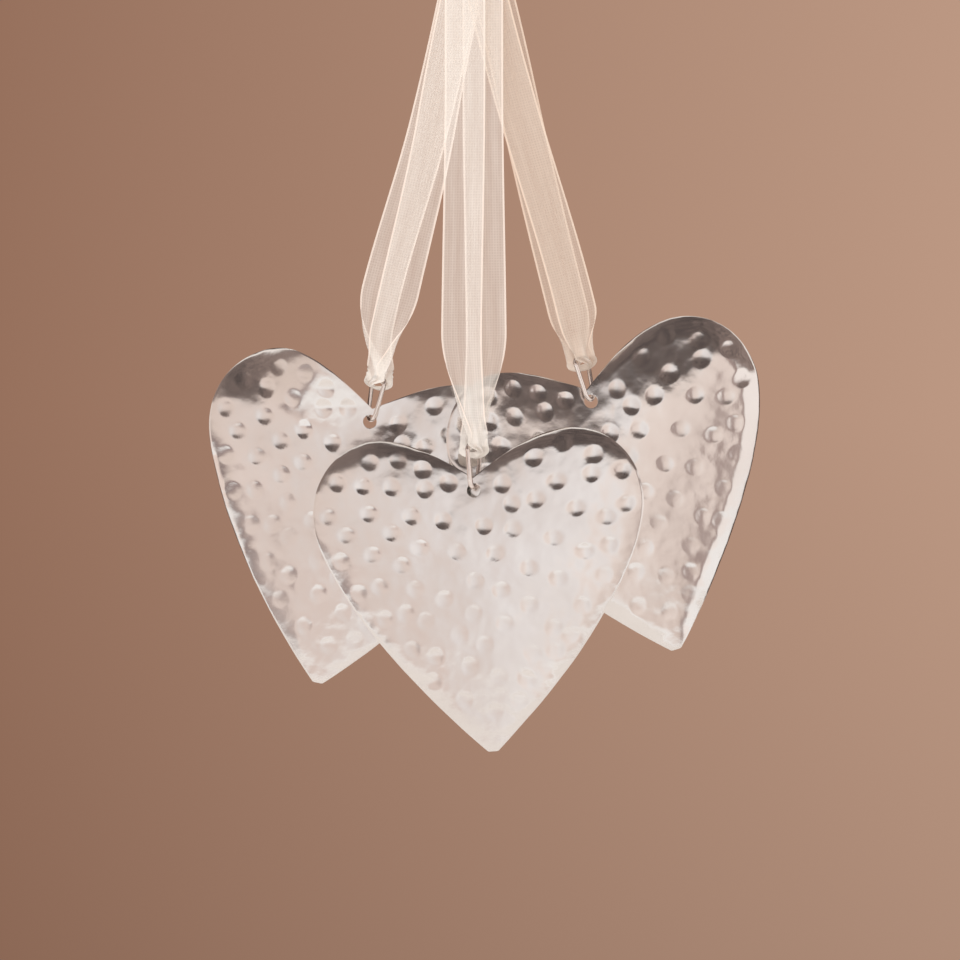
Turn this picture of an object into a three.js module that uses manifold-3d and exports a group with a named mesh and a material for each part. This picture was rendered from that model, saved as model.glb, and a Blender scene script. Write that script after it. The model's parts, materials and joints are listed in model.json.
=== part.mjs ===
// Hanging trio of pressed metal hearts. Each heart hangs by a bent wire link from its own doubled
// sheer ribbon, and the three ribbons are tied in one knot under a ribbon hanging loop.
// Millimetres, +Z up, seen along +Y. The origin is where the hanging loop takes its hook.

import * as THREE from "three";
import { mergeVertices } from "three/addons/utils/BufferGeometryUtils.js";
import Module from "manifold-3d";

const wasm = await Module();
wasm.setup();

// Heart outline, in its own plane: X across and Z up from the middle of its hole
const heartWidth = 80;
const heartHeight = 78; // lobe tops to tip
const lobeSpan = 46.4; // between the two lobe tops
const lobeRise = 10.5; // cleft to lobe tops
const shoulderDrop = 18.3; // lobe tops down to the widest line
const tipFlat = 2.4; // width of the blunt tip
const cleftAngle = 34; // slope of the edge beside the cleft, degrees
const tipAngle = 43.7; // slope of the edge above the tip, degrees
const cleftReach = 7.6; // how far the curve runs on along each of these directions
const lobeInnerReach = 7.8;
const lobeOuterReach = 8.9;
const shoulderReach = 10.8;
const flankReach = 17;
const tipReach = 19.6;
const outlineSteps = 9; // facets in each stretch of the outline

// Heart sheet
const sheetThickness = 0.8;
const crownDepth = 2; // how far the rim lies behind the middle
const rimRoll = 1.6; // further drop of the rolled rim
const rollStart = 0.86; // where the roll starts, as a share of the way from the middle to the rim
const rollFade = 14; // the roll dies away this near to the cleft and the tip
const crownDrop = 20; // middle of the crown below the hole
const holeDiameter = 3.4;
const holeWeb = 1.5; // metal between the hole and the cleft
const holeSides = 18;
const sheetRings = [0.5, 0.86, 0.94, 1]; // shares of the way to the rim

// Dents, pressed in from the front: one pattern for all three hearts, across and up from the hole
const dentDiameter = 4.4;
const dentDepth = 0.42;
const dentMargin = 0.7; // least metal between a dent and the rim or the hole
const dentSides = 6;
const dents = [
  [-25, 9], [-18, 9], [-12, 6], [15, 7], [22, 10], [29, 7],
  [-33, 4], [-27, 3], [-20, 2], [-12, 1], [-6, 2], [7, 1], [20, 1], [28, 2], [35, 2],
  [-36, -4], [-26, -4], [-16, -5], [-8, -7], [2, -9], [9, -4], [15, -3], [24, -6], [36, -6],
  [-32, -9], [-21, -9], [-14, -13], [9, -10], [18, -13], [31, -9],
  [-34, -15], [-26, -14], [-19, -17], [-5, -15], [4, -16], [25, -17], [31, -16],
  [-30, -23], [-25, -22], [-16, -23], [-9, -26], [-1, -22], [5, -25], [12, -20], [18, -23], [29, -23],
  [-24, -30], [-19, -29], [-14, -31], [-2, -30], [5, -33], [11, -29], [23, -30],
  [-18, -38], [-12, -40], [-6, -35], [0, -38], [16, -35], [20, -37], [11, -41], [16, -41],
  [-13, -46], [-4, -43], [3, -46], [9, -47], [-6, -51], [7, -52], [1, -55],
];

// Wire link, a rounded triangle that is cut in the middle of its top bar
const wireDiameter = 1.1;
const linkHeight = 10.5; // bottom to bar, along the middle of the wire
const linkWidth = 7; // between the middles of its arms at the bar
const linkFootRadius = 2.3; // bend that sits in the heart's hole
const linkCornerRadius = 1.3; // bends at the ends of the bar
const linkSplit = 0.6; // gap between the wire's two ends
const linkSlack = 0.65; // between the wire and the top of the heart's hole
const linkTurn = 26; // its plane stands this far round from square to the heart, degrees
const linkSteps = 36;
const wireSides = 3; // facets in half the wire's section

// Ribbon
const ribbonWidth = 10;
const ribbonThickness = 0.4;
const bunchWidth = 7; // width of the bunch just above the link
const twistLength = 8; // the bunch turns flat to the front over this length above the link's bar
const gatherFolds = 2; // whole waves across the bunched width
const foldPoints = 8; // facets across the width
const layerDepth = 1; // each layer lies this far before or behind the ribbon's middle
const knotLayerDepth = 0.45; // the same, where the layers enter the knot
const knotRibbonWidth = 6.5;
const knotGatherLength = 12; // the layers draw in over this length below the knot
const twistSteps = 5;
const gatherSteps = 5;
const knotGatherSteps = 3;
const bightSteps = 6;

// Knot and hanging loop
const loopHeight = 40; // hook to the middle of the knot
const loopWidth = 17; // outside, at its belly
const loopBellyDrop = 14.5; // hook down to the belly
const loopCrownWidth = 11; // between the loop's sides just under the hook
const loopCrownDrop = 3;
const loopNeckWidth = 10; // between its sides where they draw in to the knot
const loopNeckDrop = 29;
const loopFoot = 2.6; // between its two ends
const loopRibbonWidth = 6; // the ribbon is folded to this
const loopThickness = 0.6;
const loopSteps = 26;
const loopFacets = 2; // across its width
const knotDiameter = 10;
const knotSides = 16;
const knotRows = 10;

const fitGap = 0.3; // between pieces that touch

// Where the hearts hang: each hole, down from the knot and out to the side
const frontDrop = 138.7;
const rightDrop = 116.8;
const rightOut = 29;
const leftDrop = 121.7;
const leftOut = 25.8;
const heartPitch = 10; // from one heart to the next, front to back
const frontGather = 28; // each ribbon opens out over this length above its link
const rightGather = 15;
const leftGather = 20;
const frontShift = -2.5; // its front layer lies this far to the right of its middle, its back layer to the left
const rightShift = 0.5;
const leftShift = 1.7;
const knotShift = 0.4; // the same where the layers enter the knot, as a share

// One entry for each heart, with its place front to back, its lean and the turn of its face in degrees,
// and the side that its link turns to
const hangers = [
  {
    name: "front", row: -1, drop: frontDrop, out: 0, gather: frontGather, shift: frontShift,
    lean: 4.2, face: -3, side: 1,
  },
  {
    name: "right", row: 0, drop: rightDrop, out: rightOut, gather: rightGather, shift: rightShift,
    lean: 17.5, face: 6, side: 1,
  },
  {
    name: "left", row: 1, drop: leftDrop, out: -leftOut, gather: leftGather, shift: leftShift,
    lean: -11.6, face: -6, side: -1,
  },
];

const metal = () =>
  new THREE.MeshStandardMaterial({ color: 0xdedad6, roughness: 0.14, metalness: 1 });
const wireMetal = () =>
  new THREE.MeshStandardMaterial({ color: 0xd6d0c8, roughness: 0.2, metalness: 1 });
const organza = () =>
  new THREE.MeshStandardMaterial({ color: 0xefe2d3, roughness: 0.6, metalness: 0 });

const radians = THREE.MathUtils.degToRad;
const ease = THREE.MathUtils.smoothstep;
const mix = THREE.MathUtils.lerp;
const upAxis = new THREE.Vector3(0, 0, 1);
const depthAxis = new THREE.Vector3(0, 1, 0);
const wireRadius = wireDiameter / 2;
const holeRadius = holeDiameter / 2;
const cleftUp = holeRadius + holeWeb;
const knotRadius = knotDiameter / 2;
const gatherWidth = linkWidth - 2 * (linkCornerRadius + fitGap);
const knotRibbonPitch = 2 * (knotLayerDepth + fitGap) + ribbonThickness;

// A closed skin: a fan from the first point to the first ring, ring to ring, and a fan to the last point.
function skin(first, rings, last) {
  const count = rings[0].length;
  const points = [first, ...rings.flat(), last];
  const index = [];
  for (let i = 0; i < count; i++) {
    const next = (i + 1) % count;
    index.push(0, 1 + i, 1 + next);
    for (let r = 0; r + 1 < rings.length; r++) {
      const a = 1 + r * count;
      const b = a + count;
      index.push(a + i, b + i, b + next);
      index.push(a + i, b + next, a + next);
    }
    const end = 1 + (rings.length - 1) * count;
    index.push(end + i, points.length - 1, end + next);
  }
  return new THREE.BufferGeometry().setFromPoints(points).setIndex(index);
}

function middleOf(ring) {
  const sum = new THREE.Vector3();
  ring.forEach((p) => sum.add(p));
  return sum.divideScalar(ring.length);
}

function toSolid(geometry) {
  const bare = geometry.clone();
  bare.deleteAttribute("normal");
  bare.deleteAttribute("uv");
  const merged = mergeVertices(bare);
  const vertProperties = new Float32Array(merged.attributes.position.array);
  const triVerts = new Uint32Array(merged.index.array);
  return new wasm.Manifold(new wasm.Mesh({ numProp: 3, vertProperties, triVerts }));
}

function toGeometry(solid) {
  const mesh = solid.getMesh();
  return new THREE.BufferGeometry()
    .setAttribute("position", new THREE.BufferAttribute(mesh.vertProperties, mesh.numProp))
    .setIndex(new THREE.BufferAttribute(mesh.triVerts, 1));
}

// The heart's outline, from the cleft round the right lobe, the tip and the left lobe.
function heartOutline() {
  const lobeUp = cleftUp + lobeRise;
  const lobe = lobeSpan / 2;
  const wide = heartWidth / 2;
  const wideUp = lobeUp - shoulderDrop;
  const tip = tipFlat / 2;
  const tipUp = lobeUp - heartHeight;
  const cleftOut = cleftReach * Math.cos(radians(cleftAngle));
  const cleftLift = cleftReach * Math.sin(radians(cleftAngle));
  const tipOut = tipReach * Math.cos(radians(tipAngle));
  const tipLift = tipReach * Math.sin(radians(tipAngle));
  const shape = new THREE.Path();
  shape.moveTo(0, cleftUp);
  shape.bezierCurveTo(cleftOut, cleftUp + cleftLift, lobe - lobeInnerReach, lobeUp, lobe, lobeUp);
  shape.bezierCurveTo(lobe + lobeOuterReach, lobeUp, wide, wideUp + shoulderReach, wide, wideUp);
  shape.bezierCurveTo(wide, wideUp - flankReach, tip + tipOut, tipUp + tipLift, tip, tipUp);
  const right = shape.getPoints(outlineSteps);
  const left = right
    .slice(1)
    .reverse()
    .map((p) => new THREE.Vector2(-p.x, p.y));
  return [...right, ...left];
}

const outline = heartOutline();
const crownMiddle = new THREE.Vector2(0, -crownDrop);
const spokes = outline.map((p) => p.clone().sub(crownMiddle));

// Share of the way from the middle of the crown to the rim at a place on the heart.
function reachAt(x, z) {
  const p = new THREE.Vector2(x, z).sub(crownMiddle);
  for (let i = 0; i < spokes.length; i++) {
    const a = spokes[i];
    const b = spokes[(i + 1) % spokes.length];
    const s = p.cross(b) / a.cross(b);
    const t = a.cross(p) / a.cross(b);
    if (s >= 0 && t >= 0) return s + t;
  }
  return 0;
}

// How far the front of the sheet lies behind the middle of its crown.
function depthAt(x, reach) {
  const roll = Math.max(0, (reach - rollStart) / (1 - rollStart));
  const share = ease(Math.abs(x), 0, rollFade);
  return crownDepth * reach ** 2 + rimRoll * share * roll ** 2;
}

// The sheet's middle lies on Y = 0 at the top of the hole.
const sheetFront = -depthAt(0, reachAt(0, holeRadius)) - sheetThickness / 2;

function sheetPoint(x, z) {
  return new THREE.Vector3(x, sheetFront + depthAt(x, reachAt(x, z)), z);
}

function heartSheet() {
  const ringAt = (reach, behind) =>
    spokes.map((spoke) => {
      const p = spoke.clone().multiplyScalar(reach).add(crownMiddle);
      return new THREE.Vector3(p.x, sheetFront + depthAt(p.x, reach) + behind, p.y);
    });
  const back = sheetRings.map((reach) => ringAt(reach, sheetThickness));
  const front = sheetRings.map((reach) => ringAt(reach, 0)).reverse();
  const frontMiddle = new THREE.Vector3(0, sheetFront, -crownDrop);
  const backMiddle = frontMiddle.clone().setY(sheetFront + sheetThickness);
  return skin(backMiddle, [...back, ...front], frontMiddle);
}

// A cone set square to the sheet, with its point as far behind the sheet's front as its base is before it.
function dentTool(x, z) {
  const step = dentDiameter / 2;
  const at = sheetPoint(x, z);
  const along = sheetPoint(x + step, z).sub(sheetPoint(x - step, z));
  const up = sheetPoint(x, z + step).sub(sheetPoint(x, z - step));
  const inward = up.cross(along).normalize();
  const cone = new THREE.ConeGeometry(dentDiameter, 2 * dentDepth, dentSides);
  cone.applyQuaternion(new THREE.Quaternion().setFromUnitVectors(depthAxis, inward));
  return cone.translate(at.x, at.y, at.z);
}

function clearOfEdges([x, z]) {
  const p = new THREE.Vector2(x, z);
  const room = dentDiameter / 2 + dentMargin;
  const toRim = Math.min(...outline.map((edge) => edge.distanceTo(p)));
  return reachAt(x, z) < 1 && toRim > room && p.length() > holeRadius + room;
}

function heart() {
  let solid = toSolid(heartSheet());
  const drillLength = 4 * (crownDepth + sheetThickness);
  const drill = new THREE.CylinderGeometry(holeRadius, holeRadius, drillLength, holeSides);
  solid = solid.subtract(toSolid(drill));
  for (const [x, z] of dents.filter(clearOfEdges)) {
    solid = solid.subtract(toSolid(dentTool(x, z)));
  }
  return toGeometry(solid);
}

// The link in its own frame: its foot at the origin, its bar above it, its plane turned about Z.
function linkGeometry(turn) {
  const corner = new THREE.Vector2(linkWidth / 2 - linkCornerRadius, linkHeight - linkCornerRadius);
  const foot = new THREE.Vector2(0, linkFootRadius);
  const run = corner.clone().sub(foot);
  const arm = run.angle() - Math.acos((linkFootRadius - linkCornerRadius) / run.length());
  const bend = new THREE.Path();
  bend.moveTo(linkSplit / 2, linkHeight);
  bend.absarc(corner.x, corner.y, linkCornerRadius, Math.PI / 2, arm, true);
  bend.absarc(foot.x, foot.y, linkFootRadius, arm, -Math.PI - arm, true);
  bend.absarc(-corner.x, corner.y, linkCornerRadius, Math.PI - arm, Math.PI / 2, true);
  bend.lineTo(-linkSplit / 2, linkHeight);
  const along = new THREE.Vector3(Math.sin(turn), Math.cos(turn), 0);
  const points = bend
    .getSpacedPoints(linkSteps)
    .map((p) => along.clone().multiplyScalar(p.x).addScaledVector(upAxis, p.y));
  const section = new THREE.Shape().absarc(0, 0, wireRadius, 0, 2 * Math.PI);
  return new THREE.ExtrudeGeometry(section, {
    steps: linkSteps,
    curveSegments: wireSides,
    extrudePath: new THREE.CatmullRomCurve3(points),
  });
}

// A strip of cloth as a thin closed solid. Each station has its middle, the direction across it, its
// outward normal, its width and the depth of its folds.
function stripGeometry(stations, thickness, folds, facets) {
  const rings = stations.map(({ at, across, out, width, fold }) => {
    const row = (side) =>
      Array.from({ length: facets + 1 }, (_, i) => {
        const share = i / facets;
        const wave = fold * Math.cos(2 * Math.PI * folds * share);
        return at
          .clone()
          .addScaledVector(across, (share - 0.5) * width)
          .addScaledVector(out, wave + (side * thickness) / 2);
      });
    return [...row(1), ...row(-1).reverse()];
  });
  return skin(middleOf(rings[0]), rings, middleOf(rings.at(-1)));
}

// The ribbon in the frame of its link: down one layer from the knot, round the bar and up the other.
function ribbonGeometry(turn, side, length, gather, shift) {
  const foldAt = (width) => Math.sqrt(ribbonWidth ** 2 - width ** 2) / (4 * gatherFolds);
  const bightRadius = wireRadius + fitGap + ribbonThickness / 2 + foldAt(gatherWidth);
  const rise = length - linkHeight;
  const flat = (side * Math.PI) / 2;
  const facing = (angle) => new THREE.Vector3(Math.cos(angle), -Math.sin(angle), 0);
  const acrossAt = (angle) => new THREE.Vector3(Math.sin(angle), Math.cos(angle), 0);

  const layerStation = (height, layer) => {
    const twist = ease(height, 0, twistLength);
    const open = ease(height, 0, gather);
    const drawn = 1 - ease(rise - height, 0, knotGatherLength);
    const angle = mix(turn, flat, twist);
    const out = facing(angle).multiplyScalar(layer);
    const at = out.clone().multiplyScalar(mix(mix(bightRadius, layerDepth, open), knotLayerDepth, drawn));
    at.x += side * layer * shift * mix(open, knotShift, drawn);
    at.z += linkHeight + height;
    const gathered = mix(mix(gatherWidth, bunchWidth, twist), ribbonWidth, open);
    const width = mix(gathered, knotRibbonWidth, drawn);
    return { at, across: acrossAt(angle), out, width, fold: foldAt(gathered) };
  };
  const bightStation = (angle) => {
    const out = facing(turn).multiplyScalar(Math.cos(angle)).addScaledVector(upAxis, -Math.sin(angle));
    const at = out.clone().multiplyScalar(bightRadius);
    at.z += linkHeight;
    return { at, across: acrossAt(turn), out, width: gatherWidth, fold: foldAt(gatherWidth) };
  };

  const drawnFrom = rise - knotGatherLength;
  const evenly = (steps, from, to) => Array.from({ length: steps + 1 }, (_, i) => mix(from, to, i / steps));
  const heights = [
    ...evenly(twistSteps, 0, twistLength),
    ...evenly(gatherSteps, twistLength, gather).slice(1),
    (gather + drawnFrom) / 2,
    ...evenly(knotGatherSteps, drawnFrom, rise),
  ];
  const bight = evenly(bightSteps, 0, Math.PI).slice(1, -1);
  const stations = [
    ...heights.toReversed().map((height) => layerStation(height, 1)),
    ...bight.map(bightStation),
    ...heights.map((height) => layerStation(height, -1)),
  ];
  return stripGeometry(stations, ribbonThickness, gatherFolds, foldPoints);
}

// The knot: a ball, so that the ribbons can swing about its middle.
function knotGeometry() {
  return new THREE.SphereGeometry(knotRadius, knotSides, knotRows).rotateX(Math.PI / 2);
}

// The hanging loop: a folded ribbon that rises from the knot, bellies out and closes over the hook.
function loopGeometry() {
  const half = loopThickness / 2;
  const foot = loopFoot / 2;
  const footUp = Math.sqrt(knotRadius ** 2 - foot ** 2) + 2 * fitGap - loopHeight;
  const right = [
    [loopCrownWidth / 2, -loopCrownDrop],
    [loopWidth / 2 - half, -loopBellyDrop],
    [loopNeckWidth / 2, -loopNeckDrop],
    [foot, footUp],
  ];
  const left = right.toReversed().map(([x, z]) => [-x, z]);
  const route = [...left, [0, half], ...right];
  const path = new THREE.CatmullRomCurve3(route.map(([x, z]) => new THREE.Vector3(x, 0, z)));
  const stations = Array.from({ length: loopSteps + 1 }, (_, i) => {
    const at = path.getPointAt(i / loopSteps);
    const out = new THREE.Vector3().crossVectors(path.getTangentAt(i / loopSteps), depthAxis);
    return { at, across: depthAxis.clone().negate(), out: out.negate(), width: loopRibbonWidth, fold: 0 };
  });
  return stripGeometry(stations, loopThickness, 0, loopFacets);
}

function named(name, geometry, material) {
  const mesh = new THREE.Mesh(geometry, material);
  mesh.name = name;
  return mesh;
}

const ornament = new THREE.Group();

const knot = named("ribbon_knot", knotGeometry(), organza());
knot.position.z = -loopHeight;
ornament.add(knot);
ornament.add(named("hanging_loop", loopGeometry(), organza()));

for (const { name, row, drop, out, gather, shift, lean, face, side } of hangers) {
  const holeAt = new THREE.Vector3(out, row * heartPitch, -loopHeight - drop);
  const knotAt = new THREE.Vector3(0, row * knotRibbonPitch, -loopHeight);
  const pull = knotAt.clone().sub(holeAt).normalize();
  const footAt = holeAt.clone().addScaledVector(pull, holeRadius - wireRadius - linkSlack);
  const across = new THREE.Vector3().crossVectors(depthAxis, pull).normalize();
  const behind = new THREE.Vector3().crossVectors(pull, across);

  // Link and ribbon hang in line, from the knot to the hole.
  const hanger = new THREE.Group();
  hanger.position.copy(footAt);
  hanger.quaternion.setFromRotationMatrix(new THREE.Matrix4().makeBasis(across, behind, pull));
  const turn = side * radians(linkTurn);
  hanger.add(named(name + "_link", linkGeometry(turn), wireMetal()));
  const length = knotAt.distanceTo(footAt) - knotRadius - fitGap;
  const ribbon = ribbonGeometry(turn, side, length, gather, shift);
  hanger.add(named(name + "_ribbon", ribbon, organza()));
  ornament.add(hanger);

  const plate = named(name + "_heart", heart(), metal());
  plate.position.copy(holeAt);
  plate.rotation.set(0, radians(-lean), radians(face), "ZYX");
  ornament.add(plate);
}

export default ornament;
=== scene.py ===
# Three pressed metal hearts on sheer ribbons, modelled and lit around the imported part.
import json
import math

import bmesh
import bpy
import numpy as np
from mathutils import Matrix, Vector, kdtree, noise
from mathutils.geometry import interpolate_bezier


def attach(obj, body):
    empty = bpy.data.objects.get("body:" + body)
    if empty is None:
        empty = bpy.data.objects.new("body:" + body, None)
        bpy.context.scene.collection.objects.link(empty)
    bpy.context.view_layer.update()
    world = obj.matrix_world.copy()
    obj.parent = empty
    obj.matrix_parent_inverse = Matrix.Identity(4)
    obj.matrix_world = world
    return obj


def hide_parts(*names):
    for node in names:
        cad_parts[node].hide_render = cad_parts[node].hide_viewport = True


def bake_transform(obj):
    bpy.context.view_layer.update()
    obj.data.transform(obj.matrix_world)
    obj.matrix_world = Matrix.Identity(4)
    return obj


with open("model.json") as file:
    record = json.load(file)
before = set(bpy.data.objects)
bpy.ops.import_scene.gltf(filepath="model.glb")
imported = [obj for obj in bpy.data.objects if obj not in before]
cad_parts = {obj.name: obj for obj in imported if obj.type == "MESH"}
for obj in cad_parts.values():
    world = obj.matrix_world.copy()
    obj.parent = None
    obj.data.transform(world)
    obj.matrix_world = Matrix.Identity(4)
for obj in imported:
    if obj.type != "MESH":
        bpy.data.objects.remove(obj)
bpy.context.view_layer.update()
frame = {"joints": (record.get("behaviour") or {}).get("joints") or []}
joints = {joint["name"]: joint for joint in frame["joints"]}
mm = 0.001

# How each heart hangs: its place front to back, lean and turn of its face in degrees, the side that
# its link turns to, and in mm the height over which its ribbon opens out above the link, how far the
# layers of the ribbon lie apart sideways just above that and near the knot, how far it bows sideways
# and how much of its edge turns over; last come the seed of its flutter and the tone of its cloth: the
# pale cloth itself, and for the right ribbon a darker copy of it that paints the shade it hangs in
hangers = {
    "front": {"row": -1, "lean": 4.2, "face": -3, "side": 1, "gather": 28, "shift": -3.1,
              "topShift": -2.2, "bow": 0, "turnOver": 2.6, "seed": 3, "clothTone": "pale"},
    # the right ribbon's darker cloth is painted shade, for the light that falls off towards the right
    "right": {"row": 0, "lean": 17.5, "face": 6, "side": 1, "gather": 12, "shift": 1,
              "topShift": -0.8, "bow": 0.8, "turnOver": 2.2, "seed": 11, "clothTone": "painted_shade"},
    "left": {"row": 1, "lean": -11.6, "face": -6, "side": -1, "gather": 22, "shift": 2.2,
             "topShift": 0.3, "bow": -1.9, "turnOver": 4, "seed": 23, "clothTone": "pale"},
}


def pick(piece):
    bpy.ops.object.select_all(action="DESELECT")
    piece.select_set(True)
    bpy.context.view_layer.objects.active = piece


def finishWith(piece, kind, **settings):  # adds a modifier and applies it
    modifier = piece.modifiers.new(kind.lower(), kind)
    for key, value in settings.items():
        setattr(modifier, key, value)
    pick(piece)
    bpy.ops.object.modifier_apply(modifier=modifier.name)


def smooth(piece, degrees):
    pick(piece)
    bpy.ops.object.shade_smooth_by_angle(angle=math.radians(degrees))


def ease(x, low, high):  # 0 before low, 1 after high, with a soft turn at both
    t = np.clip((x - low) / (high - low), 0, 1)
    return t * t * (3 - 2 * t)


def mix(a, b, share):
    return a + (b - a) * share


def coords(piece):
    flat = np.empty(len(piece.data.vertices) * 3)
    piece.data.vertices.foreach_get("co", flat)
    return flat.reshape(-1, 3)


def setCoords(piece, places):
    piece.data.vertices.foreach_set("co", np.asarray(places, float).ravel())
    piece.data.update()


# Camera: level, straight on, from far off with a long lens
cameraSet = {
    "at": (0.0015, -1.6, -0.1762),
    "subject": -0.010,  # the front heart's plane, along Y
    "fieldWidth": 0.2356,  # what the picture takes in there
}


def addCamera():
    bpy.ops.object.camera_add(location=cameraSet["at"], rotation=(math.radians(90), 0, 0))
    camera = bpy.context.object
    distance = cameraSet["subject"] - cameraSet["at"][1]
    camera.data.lens = camera.data.sensor_width * distance / cameraSet["fieldWidth"]
    bpy.context.scene.camera = camera
    print("camera set,", round(camera.data.lens), "mm lens")


# Materials
noiseRange = (0.3, 0.7)  # what a noise texture spans for the most part


def linear(colour):  # sRGB hex to linear RGBA
    parts = [int(colour[i : i + 2], 16) / 255 for i in (1, 3, 5)]
    return [c / 12.92 if c <= 0.04045 else ((c + 0.055) / 1.055) ** 2.4 for c in parts] + [1]


def add(tree, kind, inputs={}, **settings):  # a node with its settings and links; gives its first output
    node = tree.nodes.new("ShaderNode" + kind)
    for key, value in settings.items():
        setattr(node, key, value)
    for key, value in inputs.items():
        named = [s for s in node.inputs if s.enabled and s.name == key]
        socket = named[0] if named else node.inputs[key]
        if isinstance(value, bpy.types.NodeSocket):
            tree.links.new(value, socket)
        else:
            socket.default_value = value
    return next((s for s in node.outputs if s.enabled), None)


def newMaterial(name):
    material = bpy.data.materials.new(name)
    material.use_nodes = True
    material.node_tree.nodes.clear()
    return material, material.node_tree


plateLook = {
    "bright": "#f2efed", "dull": "#e6e0dc",
    "smudge": 14,  # mm, size of faint smudges
    "polished": 0.1, "rubbed": 0.2,  # roughness
    "grain": 0.7, "grainDepth": 0.008,  # mm, slight orange peel left by the pressing
    "ripple": 2.4, "rippleDepth": 0.03,  # mm, unevenness of the hammered sheet
}


# Nickel-plated pressed steel, polished: near mirror bright, with an orange peel that mottles what is
# dark in it and smudges that hardly show
def platedSteel():
    look = plateLook
    material, tree = newMaterial("nickel_plated_steel")
    place = add(tree, "TexCoord").node.outputs["Object"]
    smudges = add(tree, "TexNoise", {"Vector": place, "Scale": 1 / (look["smudge"] * mm), "Detail": 3})
    grain = add(tree, "TexNoise", {"Vector": place, "Scale": 1 / (look["grain"] * mm), "Detail": 2})
    tint = add(tree, "Mix", {"Factor": smudges, "A": linear(look["bright"]), "B": linear(look["dull"])},
               data_type="RGBA")
    dulled = add(tree, "MapRange", {"Value": smudges, "From Min": noiseRange[0], "From Max": noiseRange[1],
                                    "To Min": look["polished"], "To Max": look["rubbed"]})
    ripples = add(tree, "TexNoise", {"Vector": place, "Scale": 1 / (look["ripple"] * mm), "Detail": 1})
    uneven = add(tree, "Bump", {"Height": ripples, "Distance": look["rippleDepth"] * mm})
    peel = add(tree, "Bump", {"Height": grain, "Distance": look["grainDepth"] * mm, "Normal": uneven})
    shader = add(tree, "BsdfPrincipled", {"Base Color": tint, "Metallic": 1, "Roughness": dulled,
                                          "Normal": peel})
    add(tree, "OutputMaterial", {"Surface": shader})
    return material


wireLook = {
    "bright": "#f6eeea", "dull": "#e4d8d1",
    "drawMarks": 0.25, "markDepth": 0.01,  # mm
    "polished": 0.06, "rubbed": 0.16,  # roughness
}


# Nickel-plated drawn steel wire: bright, with fine marks from the drawing and bending
def drawnWire():
    look = wireLook
    material, tree = newMaterial("nickel_plated_wire")
    place = add(tree, "TexCoord").node.outputs["Object"]
    marks = add(tree, "TexNoise", {"Vector": place, "Scale": 1 / (look["drawMarks"] * mm), "Detail": 3})
    tint = add(tree, "Mix", {"Factor": marks, "A": linear(look["bright"]), "B": linear(look["dull"])},
               data_type="RGBA")
    dulled = add(tree, "MapRange", {"Value": marks, "To Min": look["polished"], "To Max": look["rubbed"]})
    scratches = add(tree, "Bump", {"Height": marks, "Distance": look["markDepth"] * mm})
    shader = add(tree, "BsdfPrincipled", {"Base Color": tint, "Metallic": 1, "Roughness": dulled,
                                          "Normal": scratches})
    add(tree, "OutputMaterial", {"Surface": shader})
    return material


organzaLook = {
    "pale": ("#fdf6ef", "#fdeee3"), "painted_shade": ("#eadacc", "#f3ddcb"),  # cloth and edge of the pale cloth and of its darker copy, which paints shade
    "edgeWidth": 0.45, "edgeBlur": 0.1,  # mm, the close woven edge
    "threads": 0.66,  # mm; real threads lie about 0.25 mm apart, too fine to show, so drawn coarser
    "threadFrom": -0.2,  # where a thread starts on the sine wave that draws it
    "threadRise": 0.05, "threadBump": 0.5,  # mm, and the share of that which shows
    "openCover": 0.33, "threadCover": 0.42, "edgeCover": 0.82,  # share of the light that is stopped
    "tightCover": 0.72, "tightTo": 4.5, "looseFrom": 12,  # where it is drawn together, mm along from there
    # the streaks make the cloth denser and thinner, and so also paint the sheen of soft lengthwise folds
    "streakWide": 2, "streakLong": 25, "streakLean": 0.18,  # mm, mm, and how uneven they make the cover
    "openRough": 0.6, "threadRough": 0.42, "sheen": 0.25,
}


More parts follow.
